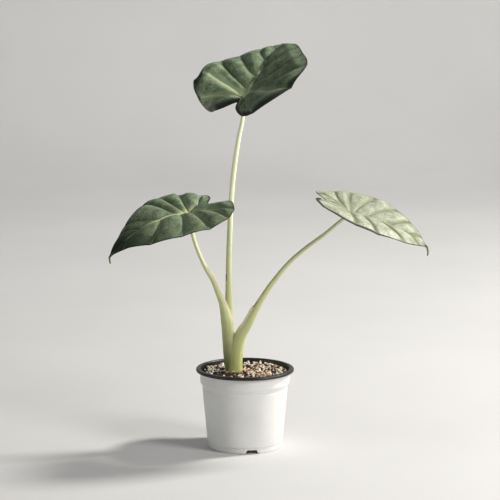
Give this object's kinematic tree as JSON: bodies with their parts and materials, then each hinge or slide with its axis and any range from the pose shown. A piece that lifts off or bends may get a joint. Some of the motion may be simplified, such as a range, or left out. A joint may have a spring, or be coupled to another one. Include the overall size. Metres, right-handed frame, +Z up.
{
  "type": "potted regal shield alocasia",
  "caption": "Potted aroid house plant: quilted shield-shaped leaves on tall stalks that sheathe each other at the base, in gritty mix in a round nursery pot with a dark rolled rim.",
  "frame": {"origin": "centre of the pot's underside, on the surface that the pot stands on", "axes": "+Z up along the pot's axis; -Y is the front, the side that the picture shows; +X is to the right seen from the front"},
  "size_m": [0.3816, 0.1907, 0.4889],
  "materials": {
    "pot_plastic": "white outside and black inside, rolled rim black, satin",
    "potting_mix": "dark crumbly peat and fine bark, rough",
    "rootstock": "pale brown, fibrous, rough",
    "leaf_stalk": "smooth yellow-green, fading to cream towards the blade, satin",
    "leaf_blade_dark": "dark green with pale midrib and veins, satin",
    "leaf_blade_pale": "pale silvery green with green shading along the veins, satin",
    "perlite": "white, porous, rough",
    "pumice": "tan, porous, rough",
    "bark": "brown, fibrous, rough"
  },
  "bodies": {
    "root": {"pot": "pot_plastic", "potting_mix": "potting_mix", "rootstock": "rootstock", "leaf_stalk_top": "leaf_stalk", "leaf_stalk_left": "leaf_stalk", "leaf_stalk_right": "leaf_stalk", "leaf_blade_top": "leaf_blade_dark", "leaf_blade_left": "leaf_blade_dark", "leaf_blade_right": "leaf_blade_pale", "perlite_grain_01": "perlite", "perlite_grain_02": "perlite", "perlite_grain_03": "perlite", "perlite_grain_04": "perlite", "perlite_grain_05": "perlite", "perlite_grain_06": "perlite", "perlite_grain_07": "perlite", "perlite_grain_08": "perlite", "perlite_grain_09": "perlite", "perlite_grain_10": "perlite", "perlite_grain_11": "perlite", "perlite_grain_12": "perlite", "pumice_grain_01": "pumice", "pumice_grain_02": "pumice", "pumice_grain_03": "pumice", "pumice_grain_04": "pumice", "pumice_grain_05": "pumice", "pumice_grain_06": "pumice", "pumice_grain_07": "pumice", "pumice_grain_08": "pumice", "bark_grain_01": "bark", "bark_grain_02": "bark", "bark_grain_03": "bark", "bark_grain_04": "bark", "bark_grain_05": "bark", "bark_grain_06": "bark"}
  },
  "joints": []
}
